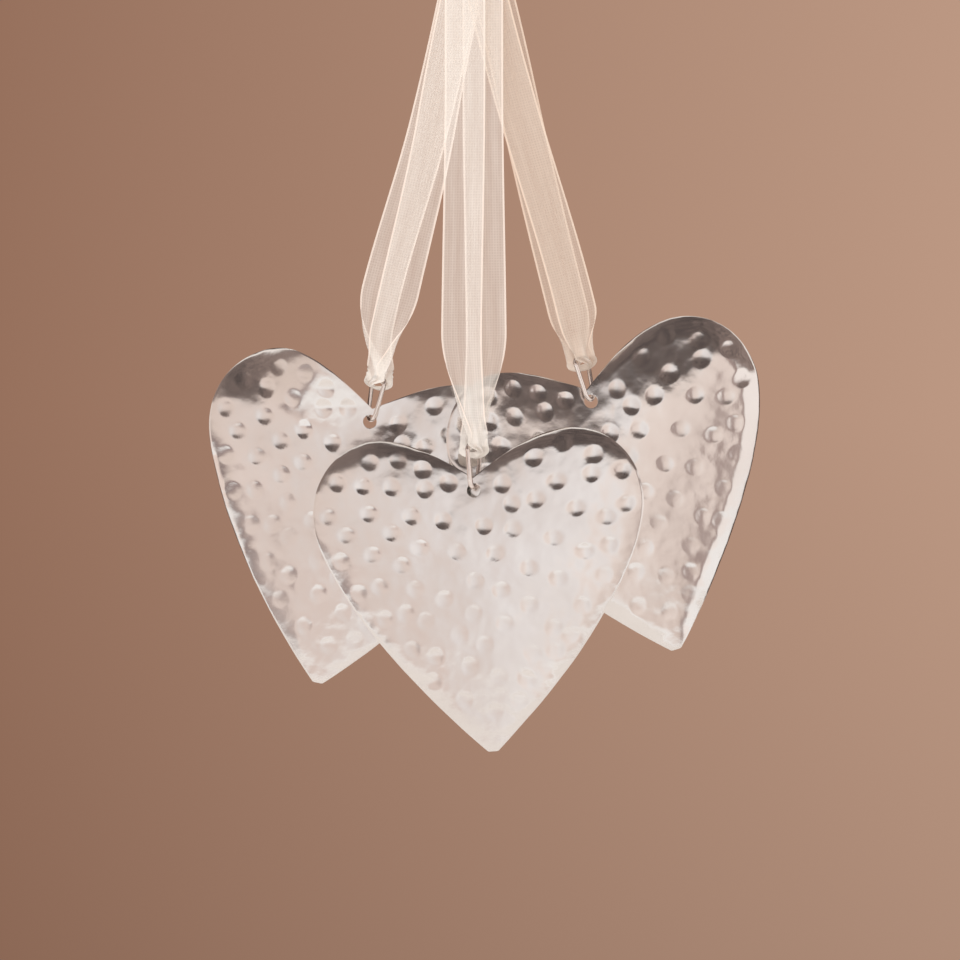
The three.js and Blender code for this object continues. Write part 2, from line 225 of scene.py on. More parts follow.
# Nylon organza ribbon: an open weave that lets the light through, with a close pale woven edge; denser
# and without a clear edge where it is drawn together
def organza(clothTone, width):
    look = organzaLook
    # the darker cloth tone is the pale cloth in painted shade
    cloth, woven = look[clothTone]
    material, tree = newMaterial(clothTone + "_nylon_organza")
    run = add(tree, "SeparateXYZ", {"Vector": add(tree, "UVMap", uv_map="UVMap")}).node.outputs
    threads = []
    for way in (run["X"], run["Y"]):
        phase = add(tree, "Math", {0: way, 1: 2 * math.pi / look["threads"]}, operation="MULTIPLY")
        wave = add(tree, "Math", {0: phase}, operation="SINE")
        threads.append(add(tree, "MapRange", {"Value": wave, "From Min": look["threadFrom"], "From Max": 1}))
    weave = add(tree, "Math", {0: threads[0], 1: threads[1]}, operation="MAXIMUM")
    # lengthwise streaks that make the cover uneven: partly uneven cloth, partly painted sheen of soft folds
    stretched = add(tree, "Mapping", {"Vector": add(tree, "UVMap", uv_map="UVMap"),
                                      "Scale": (1 / look["streakWide"], 1 / look["streakLong"], 1)})
    streaks = add(tree, "TexNoise", {"Vector": stretched, "Scale": 1, "Detail": 4})
    lean = add(tree, "MapRange", {"Value": streaks, "From Min": noiseRange[0], "From Max": noiseRange[1],
                                  "To Min": 1 - look["streakLean"], "To Max": 1 + look["streakLean"]})
    body = add(tree, "MapRange", {"Value": weave, "To Min": look["openCover"], "To Max": look["threadCover"]})
    streaked = add(tree, "Math", {0: body, 1: lean}, operation="MULTIPLY")
    fromTight = add(tree, "Math", {0: run["Y"]}, operation="ABSOLUTE")
    loose = add(tree, "MapRange", {"Value": fromTight, "From Min": look["tightTo"],
                                   "From Max": look["looseFrom"]})
    fromMiddle = add(tree, "Math", {0: run["X"]}, operation="ABSOLUTE")
    edgeStart = width / 2 - look["edgeWidth"]
    border = add(tree, "MapRange", {"Value": fromMiddle, "From Min": edgeStart - look["edgeBlur"],
                                    "From Max": edgeStart + look["edgeBlur"]})
    edge = add(tree, "Math", {0: border, 1: loose}, operation="MULTIPLY")
    spread = add(tree, "Mix", {"Factor": loose, "A": look["tightCover"], "B": streaked})
    cover = add(tree, "Mix", {"Factor": edge, "A": spread, "B": look["edgeCover"]})
    tint = add(tree, "Mix", {"Factor": edge, "A": linear(cloth), "B": linear(woven)}, data_type="RGBA")
    shine = add(tree, "MapRange", {"Value": weave, "To Min": look["openRough"],
                                   "To Max": look["threadRough"]})
    ridges = add(tree, "Bump", {"Height": weave, "Distance": look["threadRise"] * mm,
                                "Strength": look["threadBump"]})
    shader = add(tree, "BsdfPrincipled", {"Base Color": tint, "Alpha": cover, "Roughness": shine,
                                          "Normal": ridges, "Sheen Weight": look["sheen"]})
    add(tree, "OutputMaterial", {"Surface": shader})
    return material


# Heart, in its own plane: X across and Z up from the middle of its hole, in mm and degrees
heartSizes = {
    "width": 80, "height": 78, "lobeSpan": 46.4, "lobeRise": 10.5, "shoulderDrop": 18.3, "tipFlat": 2.4,
    "cleftAngle": 34, "cleftReach": 7.6, "lobeInnerReach": 7.8, "lobeOuterReach": 8.9,
    "shoulderReach": 10.8, "flankReach": 17, "tipReach": 19.6, "tipAngle": 43.7,
    "thickness": 0.8, "crownDepth": 2, "crownDrop": 20, "cleftSoften": 16,
    "rimRoll": 1.6, "rollStart": 0.86, "rollFade": 14,
    "hole": 3.4, "holeWeb": 1.5, "holeSides": 48,
    "curveSteps": 80, "turnSteps": 720, "rimPoints": 560, "rings": 64, "pole": 0.012, "poleReach": 1.5,
    "waveHeight": 0.35, "waveLength": 8, "punchLength": 20,
    "edgeRound": 0.2, "edgeAngle": 50, "smoothAngle": 40,
}
# Dents pressed in from the front, the same on all hearts, across and up from the hole
dentSizes = {
    "radius": 2.2, "spread": 0.15, "margin": 0.7,
    "depth": 0.27, "lowDepth": 0.13, "high": 2, "low": -36,  # shallower from the high mark to the low one
}
dentPlaces = [
    (-25, 9), (-18, 9), (-12, 6), (15, 7), (22, 10), (29, 7),
    (-33, 4), (-27, 3), (-20, 2), (-12, 1), (-6, 2), (7, 1), (20, 1), (28, 2), (35, 2),
    (-36, -4), (-26, -4), (-16, -5), (-8, -7), (2, -9), (9, -4), (15, -3), (24, -6), (36, -6),
    (-32, -9), (-21, -9), (-14, -13), (9, -10), (18, -13), (31, -9),
    (-34, -15), (-26, -14), (-19, -17), (-5, -15), (4, -16), (25, -17), (31, -16),
    (-30, -23), (-25, -22), (-16, -23), (-9, -26), (-1, -22), (5, -25), (12, -20), (18, -23), (29, -23),
    (-24, -30), (-19, -29), (-14, -31), (-2, -30), (5, -33), (11, -29), (23, -30),
    (-18, -38), (-12, -40), (-6, -35), (0, -38), (16, -35), (20, -37), (11, -41), (16, -41),
    (-13, -46), (-4, -43), (3, -46), (9, -47), (-6, -51), (7, -52), (1, -55),
]


def heartOutline():  # evenly spaced from the cleft round the right lobe, the tip and the left lobe
    s = heartSizes
    cleftUp = s["hole"] / 2 + s["holeWeb"]
    lobeUp = cleftUp + s["lobeRise"]
    wideUp = lobeUp - s["shoulderDrop"]
    tipUp = lobeUp - s["height"]
    lobe, wide, tip = s["lobeSpan"] / 2, s["width"] / 2, s["tipFlat"] / 2
    cleftWay = Vector((math.cos(math.radians(s["cleftAngle"])), math.sin(math.radians(s["cleftAngle"]))))
    tipWay = Vector((math.cos(math.radians(s["tipAngle"])), math.sin(math.radians(s["tipAngle"]))))
    cleft, lobeTop, side = Vector((0, cleftUp)), Vector((lobe, lobeUp)), Vector((wide, wideUp))
    corner, middle = Vector((tip, tipUp)), Vector((0, tipUp))
    stretches = [
        (cleft, cleft + s["cleftReach"] * cleftWay, lobeTop - Vector((s["lobeInnerReach"], 0)), lobeTop),
        (lobeTop, lobeTop + Vector((s["lobeOuterReach"], 0)), side + Vector((0, s["shoulderReach"])), side),
        (side, side - Vector((0, s["flankReach"])), corner + s["tipReach"] * tipWay, corner),
        (corner, corner, middle, middle),
    ]
    fine = np.array([p for stretch in stretches for p in interpolate_bezier(*stretch, s["curveSteps"])])
    walked = np.concatenate([[0], np.cumsum(np.linalg.norm(np.diff(fine, axis=0), axis=1))])
    stops = np.linspace(0, walked[-1], s["rimPoints"] // 2 + 1)
    right = np.stack([np.interp(stops, walked, fine[:, 0]), np.interp(stops, walked, fine[:, 1])], axis=1)
    return np.concatenate([right, right[-2:0:-1] * (-1, 1)])


def rimRoll(x, reach):  # how far the rim is rolled back
    s = heartSizes
    roll = np.maximum(0, (reach - s["rollStart"]) / (1 - s["rollStart"]))
    return s["rimRoll"] * ease(np.abs(x), 0, s["rollFade"]) * roll**2


def heartSheet(outline):  # the bare front of the sheet, ring by ring from the rim to the crown's middle
    s = heartSizes
    bpy.ops.object.select_all(action="DESELECT")
    bpy.ops.mesh.primitive_circle_add(vertices=s["rimPoints"], radius=s["width"] / 2 * mm)
    sheet = bpy.context.object
    sheet.name = "heart_pattern"
    crown = Vector((0, 0, -s["crownDrop"] * mm))
    setCoords(sheet, [(x * mm, 0, z * mm) for x, z in outline])
    bpy.ops.object.mode_set(mode="EDIT")
    bpy.ops.mesh.select_all(action="SELECT")
    bpy.ops.mesh.duplicate()
    bpy.ops.transform.resize(value=(s["pole"],) * 3, center_override=crown)
    bpy.ops.mesh.select_all(action="SELECT")
    bpy.ops.mesh.bridge_edge_loops(number_cuts=s["rings"], interpolation="LINEAR")
    bm = bmesh.from_edit_mesh(sheet.data)
    near = s["poleReach"] * s["pole"] * s["height"] * mm  # the innermost rings become one point
    for v in bm.verts:
        v.select_set((v.co - crown).length < near)
    bm.select_flush(True)
    bpy.ops.mesh.merge(type="CENTER")
    bpy.ops.mesh.select_all(action="SELECT")
    bpy.ops.mesh.normals_make_consistent(inside=False)
    bpy.ops.object.mode_set(mode="OBJECT")
    if sum(face.normal.y for face in sheet.data.polygons) > 0:  # fronts look towards -Y
        sheet.data.flip_normals()
    return sheet


def reachOf(places, outline, soften=0):  # share of the way from the crown's middle to the rim
    spokes = outline + (0, heartSizes["crownDrop"])
    turns = np.arctan2(spokes[:, 1], spokes[:, 0])
    order = np.argsort(turns)
    steps = np.linspace(-math.pi, math.pi, heartSizes["turnSteps"], endpoint=False)
    rim = np.interp(steps, turns[order], np.linalg.norm(spokes, axis=1)[order], period=2 * math.pi)
    if soften:  # evened out over so many degrees, so that the cleft leaves no crease in the crown
        spread = np.exp(-0.5 * (np.degrees(steps) / soften) ** 2)
        rim = np.real(np.fft.ifft(np.fft.fft(rim) * np.fft.fft(np.fft.ifftshift(spread / spread.sum()))))
    offset = places + (0, heartSizes["crownDrop"])
    turn = np.arctan2(offset[:, 1], offset[:, 0])
    return np.linalg.norm(offset, axis=1) / np.interp(turn, steps, rim, period=2 * math.pi)


def pressDents(sheet, outline):
    s = dentSizes
    room = s["radius"] + s["margin"]
    holeRoom = room + heartSizes["hole"] / 2
    tree = kdtree.KDTree(len(sheet.data.vertices))
    for i, v in enumerate(sheet.data.vertices):
        tree.insert((v.co.x, 0, v.co.z), i)
    tree.balance()
    bpy.ops.object.mode_set(mode="EDIT")
    bm = bmesh.from_edit_mesh(sheet.data)
    bm.verts.ensure_lookup_table()
    bpy.ops.mesh.select_all(action="DESELECT")
    pressed = 0
    for x, z in dentPlaces:
        here = np.array([[x, z]])
        toRim = np.linalg.norm(outline - here, axis=1).min()
        if reachOf(here, outline)[0] >= 1 or toRim < room or math.hypot(x, z) < holeRoom:
            continue
        middle = bm.verts[tree.find((x * mm, 0, z * mm))[1]]
        middle.select_set(True)
        uneven = 1 + s["spread"] * noise.noise((x, 0, z))
        depth = mix(s["lowDepth"], s["depth"], ease(z, s["low"], s["high"]))
        bpy.ops.transform.translate(
            value=(0, depth * uneven * mm, 0), use_proportional_edit=True,
            proportional_edit_falloff="INVERSE_SQUARE", proportional_size=s["radius"] * uneven * mm)
        middle.select_set(False)
        pressed += 1
    bpy.ops.object.mode_set(mode="OBJECT")
    print("dents pressed:", pressed)


def heartPattern():
    s = heartSizes
    outline = heartOutline()
    sheet = heartSheet(outline)
    places = coords(sheet)
    flat = places[:, [0, 2]] / mm
    holeEdge = np.array([[0, s["hole"] / 2]])
    front = -s["crownDepth"] * reachOf(holeEdge, outline, s["cleftSoften"])[0] ** 2 - s["thickness"] / 2
    crown = s["crownDepth"] * reachOf(flat, outline, s["cleftSoften"]) ** 2
    places[:, 1] = (front + crown + rimRoll(flat[:, 0], reachOf(flat, outline))) * mm
    setCoords(sheet, places)
    pressDents(sheet, outline)
    waves = bpy.data.textures.new("sheet_waves", "CLOUDS")
    waves.noise_scale = s["waveLength"] * mm
    finishWith(sheet, "DISPLACE", texture=waves, strength=s["waveHeight"] * mm, mid_level=0.5)
    finishWith(sheet, "SOLIDIFY", thickness=s["thickness"] * mm, offset=-1)
    bpy.ops.object.select_all(action="DESELECT")
    bpy.ops.mesh.primitive_cylinder_add(vertices=s["holeSides"], radius=s["hole"] / 2 * mm,
                                        depth=s["punchLength"] * mm, rotation=(math.radians(90), 0, 0))
    punch = bpy.context.object
    finishWith(sheet, "BOOLEAN", object=punch, operation="DIFFERENCE", solver="EXACT")
    bpy.data.objects.remove(punch)
    finishWith(sheet, "BEVEL", width=s["edgeRound"] * mm, segments=2, limit_method="ANGLE",
               angle_limit=math.radians(s["edgeAngle"]))
    smooth(sheet, s["smoothAngle"])
    print("heart sheet:", len(sheet.data.polygons), "faces")
    return sheet


def hangingFrame(name):  # the link's foot, with Z up the ribbon to the knot, and how far off that is
    row = hangers[name]["row"]
    foot = Vector(joints[name + "_heart_sway"]["pos_m"])
    knot = Vector(joints[name + "_ribbon_swing"]["pos_m"]) + Vector((0, row * ribbonSizes["pitch"] * mm, 0))
    pull = (knot - foot).normalized()
    across = Vector((0, 1, 0)).cross(pull).normalized()
    turned = Matrix((across, pull.cross(across), pull)).transposed().to_4x4()
    return Matrix.Translation(foot) @ turned, (knot - foot).length


# How each heart differs from the pattern, in mm: places across and up from the hole where it is pushed back,
# or forwards where that is negative, with the reach of each push; the share of the rim's roll left at some
# heights, on the left flank and on the inner lobes; and how far its left side and its right side lie further
# right and its tip further down
heartBends = {
    "front": {"pushes": [], "flankRoll": [(2, 0.2), (10, 0.6), (13, 1)], "leftRoll": 1, "innerRoll": 1,
              "left": 0, "right": 1.4, "down": 0},
    "right": {"pushes": [(20, 14, 1.8, 20), (-14, 16, 0.9, 22), (-2, 6, 1.3, 24), (-36, -20, -3, 26)],
              "flankRoll": [(0, 1)], "leftRoll": 0.2, "innerRoll": 1,
              "left": 1.9, "right": 1.9, "down": 0.6},
    "left": {"pushes": [(-32, 14, 2.2, 18), (-12, 20, -5, 27), (7, -12, -1.1, 14)],
             "flankRoll": [(-16, 0.8), (-7, 0.25), (4, 0.3), (11, 1)], "leftRoll": 1, "innerRoll": 0.15,
             "left": 0, "right": 0, "down": 2},
}
# Where those bends come in, in mm: the full roll outside the inner lobes and right of the left flank, the
# moves to the right from one side to the other and away from the hole, and the move down towards the tip
bendRanges = {"inner": (18, 30), "flank": (-20, 0), "sides": (0, 24), "away": (6, 40), "down": (5, 60)}


def bendHeart(heart, bends):
    ranges = bendRanges
    places = coords(heart) / mm
    x, z = places[:, 0].copy(), places[:, 2].copy()
    reach = np.minimum(reachOf(places[:, [0, 2]], heartOutline()), 1)
    kept = np.interp(z, *zip(*bends["flankRoll"]))
    kept *= mix(bends["innerRoll"], 1, ease(np.abs(x), *ranges["inner"]))
    kept *= mix(bends["leftRoll"], 1, ease(x, *ranges["flank"]))
    places[:, 1] -= (1 - kept) * rimRoll(x, reach)
    for across, up, push, size in bends["pushes"]:
        places[:, 1] += push * ease(size - np.hypot(x - across, z - up), 0, size)
    aside = mix(bends["left"], bends["right"], ease(x, *ranges["sides"]))
    places[:, 0] += aside * ease(np.hypot(x, z), *ranges["away"])
    places[:, 2] -= bends["down"] * ease(-z, *ranges["down"])
    setCoords(heart, places * mm)


def hangHeart(pattern, name, material):
    hanger = hangers[name]
    seat, _ = hangingFrame(name)
    slack = (heartSizes["hole"] - linkSizes["wire"]) / 2 - linkSizes["slack"]
    hole = seat @ Vector((0, 0, -slack * mm))
    pick(pattern)
    bpy.ops.object.duplicate()
    heart = bpy.context.object
    heart.name = name + "_pressed_heart"
    bendHeart(heart, heartBends[name])
    face = Matrix.Rotation(math.radians(hanger["face"]), 4, "Z")
    lean = Matrix.Rotation(math.radians(-hanger["lean"]), 4, "Y")
    heart.matrix_world = Matrix.Translation(hole) @ (face @ lean)
    bpy.ops.object.transform_apply(location=True, rotation=True, scale=True)
    heart.data.materials.append(material)
    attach(heart, name + "_plate")
    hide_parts(name + "_heart")
    print(name, "heart hung")


# Wire link: a rounded triangle, cut in the middle of its top bar, in mm and degrees
linkSizes = {
    "wire": 1.1, "height": 10.5, "width": 7, "footRadius": 2.3, "cornerRadius": 1.3,
    "split": 0.6, "slack": 0.65, "turn": 26, "bendSteps": 14, "roundness": 5,
    "endRound": 0.12, "endAngle": 60, "smoothAngle": 50,
}


def linkRoute():  # from one cut end round a corner to the foot, and the same way up to the other end
    s = linkSizes
    corner = Vector((s["width"] / 2 - s["cornerRadius"], s["height"] - s["cornerRadius"]))
    foot = Vector((0, s["footRadius"]))
    run = corner - foot
    arm = math.atan2(run.y, run.x) - math.acos((s["footRadius"] - s["cornerRadius"]) / run.length)
    route = [Vector((s["split"] / 2, s["height"]))]
    for middle, radius, start, end in ((corner, s["cornerRadius"], math.pi / 2, arm),
                                       (foot, s["footRadius"], arm, -math.pi / 2)):
        for a in np.linspace(start, end, s["bendSteps"]):
            route.append(middle + radius * Vector((math.cos(a), math.sin(a))))
    return route + [Vector((-p.x, p.y)) for p in reversed(route[:-1])]


def bendLink(name, material):
    s = linkSizes
    seat, _ = hangingFrame(name)
    turn = hangers[name]["side"] * math.radians(s["turn"])
    route = linkRoute()
    bpy.ops.object.select_all(action="DESELECT")
    bpy.ops.curve.primitive_bezier_curve_add()
    link = bpy.context.object
    link.name = name + "_bent_link"
    link.data.splines.clear()
    spline = link.data.splines.new("POLY")
    spline.points.add(len(route) - 1)
    for point, p in zip(spline.points, route):
        point.co = (*(seat @ (Vector((p.x * math.sin(turn), p.x * math.cos(turn), p.y)) * mm)), 1)
    link.data.dimensions = "3D"
    link.data.bevel_depth = s["wire"] / 2 * mm
    link.data.bevel_resolution = s["roundness"]
    link.data.use_fill_caps = True
    pick(link)
    bpy.ops.object.convert(target="MESH")
    link = bpy.context.object
    finishWith(link, "BEVEL", width=s["endRound"] * mm, segments=2, limit_method="ANGLE",
               angle_limit=math.radians(s["endAngle"]))
    smooth(link, s["smoothAngle"])
    link.data.materials.append(material)
    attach(link, name + "_wire")
    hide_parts(name + "_link")
    print(name, "link bent")
    return link


# Ribbon: one strip, down from the knot, round the link's bar and up again, in mm and degrees
ribbonSizes = {
    "width": 10, "gap": 0.3, "depth": 1, "folds": 2, "twist": 8,
    "gatherWidth": 2.6, "bunchWidth": 5.6, "bunchTurn": 75, "bightRadius": 3.3, "bightDrop": 2.3,
    "knotShift": 0.4, "knotDepth": 0.45, "knotWidth": 6.5, "knotGather": 12, "knotFold": 0.3,
    "pitch": 1.9, "intoKnot": 3.5, "bendBelow": 8,  # in mm; the last is a length below the knot
    "shiftFrom": 15, "shiftTo": 90,  # heights between which the layers' shift changes
    "bowRise": 12, "bowFrom": 14, "bowTo": 65,  # heights by which it bows, and between which that fades
    "turnShare": 0.8, "turnSettle": 3,  # edges turn over for this share of the gather, one alone from here up
    "turnRound": 0.3, "turnLift": 0.4,  # bend and lift of an edge that is turned over
    "flutter": 0.35, "flutterLength": 22, "flutterWaves": 1.5,
    "cells": 60, "step": 0.9, "bightSteps": 22,
}


def foldDepth(flat, width):  # of the folds that draw a flat strip in to a width
    return math.sqrt(max(flat**2 - width**2, 0)) / (4 * ribbonSizes["folds"])


def ribbonStations(name, length):  # middle, across, outward, width, fold and turned edges along the strip
    s = ribbonSizes
    hanger = hangers[name]
    side = hanger["side"]
    turn, bunchTurn = side * math.radians(linkSizes["turn"]), side * math.radians(s["bunchTurn"])
    rise = length - linkSizes["height"]
    up = Vector((0, 0, 1))

    def facing(angle):
        return Vector((math.cos(angle), -math.sin(angle), 0))

    def across(angle):
        return Vector((math.sin(angle), math.cos(angle), 0))

    def turned(height, layer):  # the edge that lies outside is turned over more and more towards the link
        over = hanger["turnOver"] * (1 - ease(height, 0, s["turnShare"] * hanger["gather"]))
        outside = 1 if layer * hanger["shift"] > 0 else -1
        high = over * (0.5 + 0.5 * ease(height, 0, s["turnSettle"]) * outside)
        return over - high, high

    def onLayer(height, layer):
        twist = ease(height, 0, s["twist"])
        opened = ease(height, 0, hanger["gather"])
        drawn = 1 - ease(rise - height, 0, s["knotGather"])
        angle = mix(bunchTurn, side * math.pi / 2, twist)
        out = layer * facing(angle)
        at = out * mix(mix(s["bightRadius"], s["depth"], opened), s["knotDepth"], drawn)
        shift = mix(hanger["shift"], hanger["topShift"], ease(height, s["shiftFrom"], s["shiftTo"]))
        at.x += side * layer * shift * mix(opened, s["knotShift"], drawn)
        at.x += hanger["bow"] * ease(height, 0, s["bowRise"]) * (1 - ease(height, s["bowFrom"], s["bowTo"]))
        at.z += linkSizes["height"] + height
        gathered = mix(s["bunchWidth"], s["width"], opened)
        edges = turned(height, layer)
        fold = foldDepth(s["width"] - sum(edges), gathered) + s["knotFold"] * drawn
        return at, across(angle), out, mix(gathered, s["knotWidth"], drawn), fold, edges

    def onBight(angle):  # a pouch that covers the bar and narrows to pass between the link's arms
        under = ease(math.sin(angle), 0, 1)
        lie = mix(bunchTurn, turn, under)
        drop = math.sin(angle) * s["bightDrop"]
        at = math.cos(angle) * s["bightRadius"] * facing(lie) + (linkSizes["height"] - drop) * up
        out = math.cos(angle) * facing(lie) - math.sin(angle) * up
        edges = turned(0, 1)
        width = mix(s["bunchWidth"], s["gatherWidth"], under)
        return at, across(lie), out, width, foldDepth(s["width"] - sum(edges), s["bunchWidth"]), edges

    heights = np.linspace(0, rise + s["intoKnot"], round(rise / s["step"]))
    return ([onLayer(h, 1) for h in heights[::-1]]
            + [onBight(a) for a in np.linspace(0, math.pi, s["bightSteps"] + 1)[1:-1]]
            + [onLayer(h, -1) for h in heights])


# A grid laid along the stations, drawn together at a share of its length; gives that length too
def layStrip(name, stations, seat, seed, material, tight):
    s = ribbonSizes
    rows, cells = len(stations) - 1, s["cells"]
    bpy.ops.object.select_all(action="DESELECT")
    bpy.ops.mesh.primitive_grid_add(x_subdivisions=cells, y_subdivisions=rows, size=1, calc_uvs=True)
    strip = bpy.context.object
    strip.name = name
    grid = coords(strip)
    cell = np.rint((grid[:, 0] + 0.5) * cells).astype(int)
    row = np.rint((grid[:, 1] + 0.5) * rows).astype(int)
    steps = [(b[0] - a[0]).length for a, b in zip(stations, stations[1:])]
    walked = np.concatenate([[0], np.cumsum(steps)])
    places = []
    for c, r in zip(cell, row):
        at, across, out, width, fold, (low, high) = stations[r]
        thread = c / cells * s["width"]
        fromEdge, over = (thread, low) if c < cells / 2 else (s["width"] - thread, high)
        inside = math.hypot(fromEdge - over, min(s["turnRound"], over / 2))
        lift = s["turnLift"] * ease(over - fromEdge, -s["turnRound"], s["turnRound"]) * min(1, over)
        flat = s["width"] - low - high
        share = inside / flat if c < cells / 2 else 1 - inside / flat
        wave = fold * math.cos(2 * math.pi * s["folds"] * share)
        spot = (share * s["flutterWaves"], walked[r] / s["flutterLength"], seed)
        loose = noise.noise(spot) * s["flutter"] * max(0, 1 - fold)
        places.append(seat @ ((at + across * (share - 0.5) * width + out * (wave + loose + lift)) * mm))
    setCoords(strip, places)
    uvs = strip.data.uv_layers.active
    uvs.name = "UVMap"
    for loop in strip.data.loops:  # in mm across from the middle and along from where it is drawn together
        i = loop.vertex_index
        uvs.data[loop.index].uv = ((cell[i] / cells - 0.5) * s["width"], walked[row[i]] - tight * walked[-1])
    smooth(strip, 180)  # all over
    strip.data.materials.append(material)
    return strip, walked[-1]


def hangRibbon(name, material):
    s = ribbonSizes
    seat, reach = hangingFrame(name)
    length = reach / mm - knotSizes["diameter"] / 2 - s["gap"]
    stations = ribbonStations(name, length)
    seed = hangers[name]["seed"]
    ribbon, cut = layStrip(name + "_organza_ribbon", stations, seat, seed, material, tight=0.5)
    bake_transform(ribbon)
    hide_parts(name + "_ribbon")
    print(name, "ribbon:", round(cut), "mm of strip")


# Knot of the tied ribbon ends: a core with two turns of ribbon wound about it, in mm and degrees
knotSizes = {
    "diameter": 10, "sides": 96, "rings": 64, "weaveSpan": 8, "smoothAngle": 60,
    "lump": 0.5, "lumpSize": 4, "lumpLevel": 0.3,
    "turnRadius": 4.85, "turnClear": 0.5, "turnStack": 0.4,  # the second turn lies over the first
    "turnWidth": 6, "turnFold": 0.35, "turnEdges": (1.2, 1.2), "stops": 120, "seed": 40,
    "tilts": [(14, 20), (-24, -35)],  # lean of each turn about Y and X
}


def tieKnot(material):
    s = knotSizes
    middle = Vector(joints["front_ribbon_swing"]["pos_m"])
    bpy.ops.object.select_all(action="DESELECT")
    bpy.ops.mesh.primitive_uv_sphere_add(segments=s["sides"], ring_count=s["rings"],
                                         radius=s["diameter"] / 2 * mm, location=middle)
    knot = bpy.context.object
    knot.name = "tied_knot"
    bpy.ops.object.transform_apply(location=True, rotation=True, scale=True)
    knot.data.uv_layers.active.name = "UVMap"
    for corner in knot.data.uv_layers.active.data:  # in mm, with the woven edge left out
        corner.uv = ((corner.uv.y - 0.5) * s["weaveSpan"], corner.uv.x * math.pi * s["diameter"])
    lumps = bpy.data.textures.new("knot_lumps", "CLOUDS")
    lumps.noise_scale = s["lumpSize"] * mm
    finishWith(knot, "DISPLACE", texture=lumps, strength=s["lump"] * mm, mid_level=s["lumpLevel"])
    knot.data.materials.append(material)
    smooth(knot, s["smoothAngle"])
    turns = []
    for i, (lean, nod) in enumerate(s["tilts"]):
        tilt = Matrix.Rotation(math.radians(lean), 4, "Y") @ Matrix.Rotation(math.radians(nod), 4, "X")
        seat = Matrix.Translation(middle) @ tilt
        radius = s["turnRadius"] + s["turnClear"] + s["turnStack"] * i
        across = Vector((0, 0, 1))
        stations = []
        for a in np.linspace(0, 2 * math.pi, s["stops"] + 1):
            out = Vector((math.cos(a), math.sin(a), 0))
            stations.append((out * radius, across, out, s["turnWidth"], s["turnFold"], s["turnEdges"]))
        turns.append(layStrip("turn", stations, seat, s["seed"] + i, material, tight=0.5)[0])
    pick(knot)
    for turn in turns:
        turn.select_set(True)
    bpy.ops.object.join()
    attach(knot, "hanger")
    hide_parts("ribbon_knot")
    print("knot tied:", len(knot.data.polygons), "faces")
    return knot


# Hanging loop: a strip with both edges turned in, up from the knot and down again, in mm
loopSizes = {
    "right": [(0, 0.3), (5.5, -3), (8.2, -14.5), (5, -29), (1.3, -34.6), (0.8, -37.5)],  # across and up
    "width": 6, "footWidth": 4, "footRise": 9, "edges": (2, 2), "steps": 16, "seed": 51,
}


def foldLoop(material):
    s = loopSizes
    route = [Vector((-x, 0, z)) for x, z in s["right"][:0:-1]] + [Vector((x, 0, z)) for x, z in s["right"]]
    points = []  # on a smooth curve through the route
    for i, (a, b) in enumerate(zip(route, route[1:])):
        before, after = route[max(i - 1, 0)], route[min(i + 2, len(route) - 1)]
        points += interpolate_bezier(a, a + (b - before) / 6, b - (after - a) / 6, b, s["steps"] + 1)[:-1]
    points.append(route[-1])
    across = Vector((0, 1, 0))
    flat = ribbonSizes["width"] - sum(s["edges"])
    stations = []
    for i, at in enumerate(points):
        along = points[min(i + 1, len(points) - 1)] - points[max(i - 1, 0)]
        opened = ease(at.z - route[0].z, 0, s["footRise"])
        width = mix(s["footWidth"], s["width"], opened)
        out = across.cross(along).normalized()
        stations.append((at, across, out, width, foldDepth(flat, width), s["edges"]))
    loop, cut = layStrip("hanging_organza_loop", stations, Matrix(), s["seed"], material, tight=0)
    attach(loop, "hanger")
    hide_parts("hanging_loop")
    print("hanging loop:", round(cut), "mm of strip")


# Floor: a pale round table top below the hanging hearts, in metres and degrees
floorSet = {
    "radius": 0.4, "height": -0.33, "thickness": 0.02, "sides": 128,
    "edge": 0.004, "edgeAngle": 50, "smoothAngle": 40,
    "colour": "#f3efec", "worn": "#ebe6e2", "cloud": 0.12, "smooth": 0.6, "rough": 0.75,
}


# Matt painted board: pale, with the faintest clouding
def paintedBoard():
    look = floorSet
    material, tree = newMaterial("painted_board")
    place = add(tree, "TexCoord").node.outputs["Object"]
    clouds = add(tree, "TexNoise", {"Vector": place, "Scale": 1 / look["cloud"], "Detail": 3})
    tint = add(tree, "Mix", {"Factor": clouds, "A": linear(look["colour"]), "B": linear(look["worn"])},
               data_type="RGBA")
    matt = add(tree, "MapRange", {"Value": clouds, "To Min": look["smooth"], "To Max": look["rough"]})
    shader = add(tree, "BsdfPrincipled", {"Base Color": tint, "Roughness": matt})
    add(tree, "OutputMaterial", {"Surface": shader})
    return material


def addFloor():
    s = floorSet
    bpy.ops.object.select_all(action="DESELECT")
    bpy.ops.mesh.primitive_cylinder_add(vertices=s["sides"], radius=s["radius"], depth=s["thickness"],
                                        location=(0, 0, s["height"] - s["thickness"] / 2))
    board = bpy.context.object
    board.name = "floor_board"
    bpy.ops.object.transform_apply(location=True, rotation=True, scale=True)
    finishWith(board, "BEVEL", width=s["edge"], segments=3, limit_method="ANGLE",
               angle_limit=math.radians(s["edgeAngle"]))
    smooth(board, s["smoothAngle"])
    board.data.materials.append(paintedBoard())
    print("floor laid")


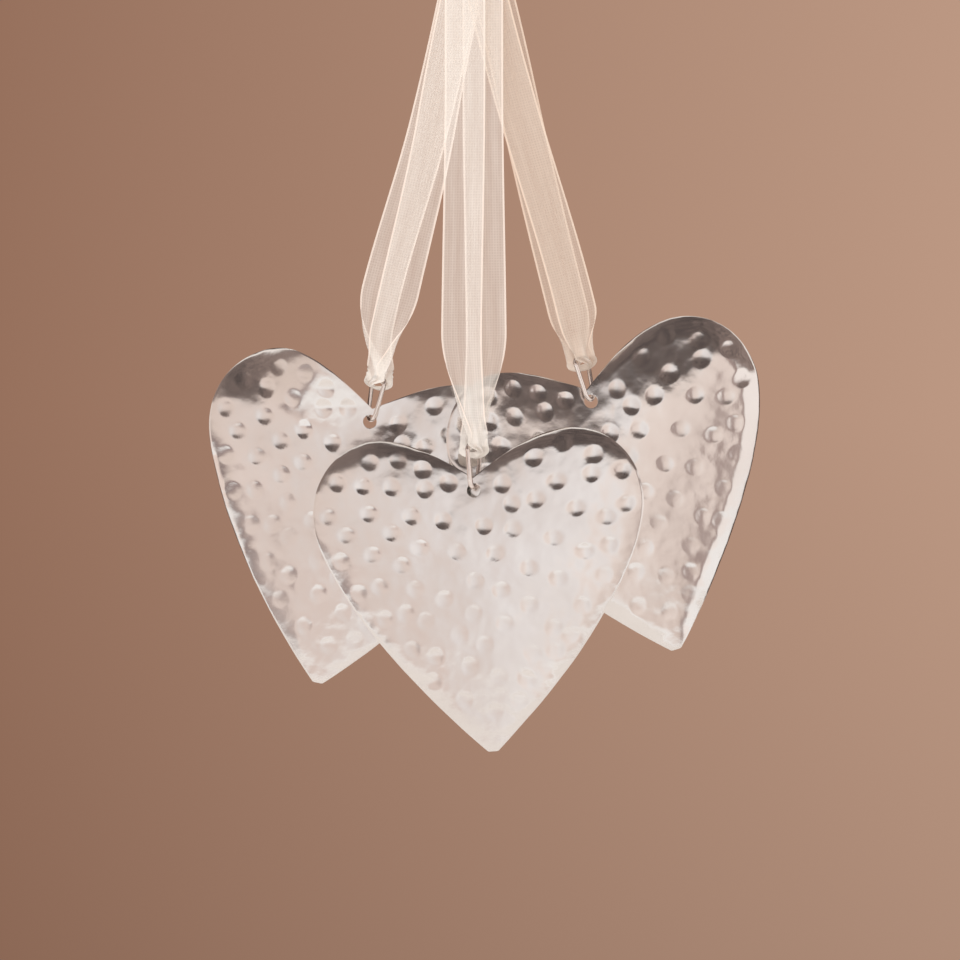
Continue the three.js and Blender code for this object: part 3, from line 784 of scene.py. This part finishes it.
# World: a plain backdrop for the camera, a studio that the metal mirrors and a soft white for the rest
studio = {
    # the backdrop's colours paint the light on the wall behind: darker on the left, lighter on the right and
    # dimmer towards its foot
    "soft": "#fdf9f5", "backdropLeft": "#956f5b", "backdropRight": "#bd9984", "backdropSide": 0.08,
    "backdropDim": 0.84, "dimFull": -0.075, "dimFrom": 0.01,  # darker towards its foot
    # mirrored walls, by degrees to the right of straight ahead, above and below eye level
    "walls": [(-80, "#ecdfd7"), (-45, "#e6d5cb"), (-25, "#ecdcd4"), (-15, "#e9ddd7"), (-6, "#eee7e5"),
              (3, "#f8f4f3"), (7, "#faf0eb"), (12, "#f4e6de"), (23, "#f0e0d8"), (27, "#a5918b"),
              (32, "#ab9791"), (36, "#fff6f1"), (60, "#fff6f1")],
    "lowWalls": [(-80, "#f6e2d8"), (-72, "#f6e2d8"), (-66, "#8d7b77"), (-29, "#9d8a86"), (-23, "#e6d3ca"),
                 (-15, "#e4d3cb"), (-6, "#ece3df"), (3, "#f4efed"), (7, "#f6ebe5"), (12, "#ead9d0"),
                 (23, "#d6c3b9"), (27, "#a5918b"), (32, "#ab9791"), (36, "#fff6f1"), (60, "#fff6f1")],
    "lowFrom": -3, "lowFull": -9, "under": "#fffdfb", "underFrom": -12, "underFull": -15,
    "ceiling": "#453e3d", "ceilingPale": "#a08c84", "patches": 22,  # a dark ceiling with paler patches
    "ceilingFrom": 13, "ceilingFull": 18, "paleAside": 0.3, "paleFrom": 0.45, "paleFull": 0.85,
    # a softbox in that ceiling and the dim room behind, from 1 straight ahead to -1 straight behind
    "softbox": "#fff8f2", "softboxFrom": 0.15, "softboxFull": 0.05,
    "besideBehind": "#58443a", "besideFrom": -0.05, "besideFull": -0.2,
    "behind": "#c4b0a5", "behindFrom": -0.8, "behindFull": -0.92,
}


def setWorld():
    world = bpy.data.worlds.new("studio")
    bpy.context.scene.world = world
    world.use_nodes = True
    tree = world.node_tree
    tree.nodes.clear()
    direction = add(tree, "TexCoord")
    way = add(tree, "SeparateXYZ", {"Vector": direction}).node.outputs
    ahead = add(tree, "Math", {0: way["Y"], 1: -1}, operation="MULTIPLY")
    turn = add(tree, "Math", {0: way["X"], 1: ahead}, operation="ARCTAN2")
    share = add(tree, "MapRange", {"Value": turn, "From Min": -math.pi / 2, "From Max": math.pi / 2})
    mirrors = []
    for bands in (studio["walls"], studio["lowWalls"]):
        ramp = add(tree, "ValToRGB", {"Fac": share})
        stops = ramp.node.color_ramp.elements
        while len(stops) < len(bands):
            stops.new(1)
        for stop, (degrees, colour) in zip(stops, bands):
            stop.position = degrees / 180 + 0.5
            stop.color = linear(colour)
        mirrors.append(ramp)
    lift = add(tree, "Math", {0: way["Z"]}, operation="ARCSINE")
    overhead = add(tree, "MapRange", {"Value": lift, "From Min": math.radians(studio["ceilingFrom"]),
                                      "From Max": math.radians(studio["ceilingFull"])})
    lamp = add(tree, "MapRange", {"Value": ahead, "From Min": studio["softboxFrom"],
                                  "From Max": studio["softboxFull"]})
    patches = add(tree, "TexNoise", {"Vector": direction, "Scale": studio["patches"], "Detail": 4})
    aside = add(tree, "Math", {0: way["X"]}, operation="ABSOLUTE")
    sidewards = add(tree, "Math", {0: aside, 1: studio["paleAside"], 2: patches}, operation="MULTIPLY_ADD")
    paler = add(tree, "MapRange", {"Value": sidewards, "From Min": studio["paleFrom"],
                                   "From Max": studio["paleFull"]})
    ceiling = add(tree, "Mix", {"Factor": paler, "A": linear(studio["ceiling"]),
                                "B": linear(studio["ceilingPale"])}, data_type="RGBA")
    above = add(tree, "Mix", {"Factor": lamp, "A": ceiling, "B": linear(studio["softbox"])}, data_type="RGBA")
    lower = add(tree, "MapRange", {"Value": lift, "From Min": math.radians(studio["lowFrom"]),
                                   "From Max": math.radians(studio["lowFull"])})
    level = add(tree, "Mix", {"Factor": lower, "A": mirrors[0], "B": mirrors[1]}, data_type="RGBA")
    lowest = add(tree, "MapRange", {"Value": lift, "From Min": math.radians(studio["underFrom"]),
                                    "From Max": math.radians(studio["underFull"])})
    around = add(tree, "Mix", {"Factor": lowest, "A": level, "B": linear(studio["under"])}, data_type="RGBA")
    before = add(tree, "Mix", {"Factor": overhead, "A": around, "B": above}, data_type="RGBA")
    backwards = add(tree, "MapRange", {"Value": ahead, "From Min": studio["besideFrom"],
                                       "From Max": studio["besideFull"]})
    directly = add(tree, "MapRange", {"Value": ahead, "From Min": studio["behindFrom"],
                                      "From Max": studio["behindFull"]})
    behind = add(tree, "Mix", {"Factor": directly, "A": linear(studio["besideBehind"]),
                               "B": linear(studio["behind"])}, data_type="RGBA")
    mirrored = add(tree, "Mix", {"Factor": backwards, "A": before, "B": behind}, data_type="RGBA")
    # the backdrop, with painted light: lighter towards the right and dimmer towards its foot
    sideways = add(tree, "MapRange", {"Value": way["X"], "From Min": -studio["backdropSide"],
                                      "From Max": studio["backdropSide"]})
    backdrop = add(tree, "Mix", {"Factor": sideways, "A": linear(studio["backdropLeft"]),
                                 "B": linear(studio["backdropRight"])}, data_type="RGBA")
    dim = add(tree, "MapRange", {"Value": way["Z"], "From Min": studio["dimFull"],
                                 "From Max": studio["dimFrom"], "To Min": studio["backdropDim"]})
    backdrop = add(tree, "Mix", {"Factor": 1, "A": backdrop, "B": dim}, data_type="RGBA",
                   blend_type="MULTIPLY")
    rays = add(tree, "LightPath").node.outputs
    lit = add(tree, "Mix", {"Factor": rays["Is Glossy Ray"], "A": linear(studio["soft"]), "B": mirrored},
              data_type="RGBA")
    shown = add(tree, "Mix", {"Factor": rays["Is Camera Ray"], "A": lit, "B": backdrop}, data_type="RGBA")
    add(tree, "OutputWorld", {"Surface": add(tree, "Background", {"Color": shown})})
    print("studio walls set:", len(studio["walls"]), "bands")


# A soft lamp to the left of the camera, in metres and watts
keyLamp = {"at": (-0.5, -1.2, 0.3), "aim": (0, 0, -0.16), "size": 0.8, "power": 4}


def addLights():
    bpy.ops.object.light_add(type="AREA", location=keyLamp["at"])
    key = bpy.context.object
    key.data.size = keyLamp["size"]
    key.data.energy = keyLamp["power"]
    aim = Vector(keyLamp["aim"]) - key.location
    key.rotation_euler = aim.to_track_quat("-Z", "Y").to_euler()
    key.visible_glossy = False
    print("lights set")


addCamera()
metal, wire = platedSteel(), drawnWire()
# the second cloth is a darker copy of the first, painted shade for the right ribbon
cloths = {clothTone: organza(clothTone, ribbonSizes["width"]) for clothTone in ("pale", "painted_shade")}
pattern = heartPattern()
for name in hangers:
    hangHeart(pattern, name, metal)
    link = bendLink(name, wire)
    hangRibbon(name, cloths[hangers[name]["clothTone"]])
bpy.data.objects.remove(pattern)
knot = tieKnot(cloths["pale"])
foldLoop(cloths["pale"])
addFloor()
setWorld()
addLights()
bpy.context.scene.view_settings.view_transform = "Standard"
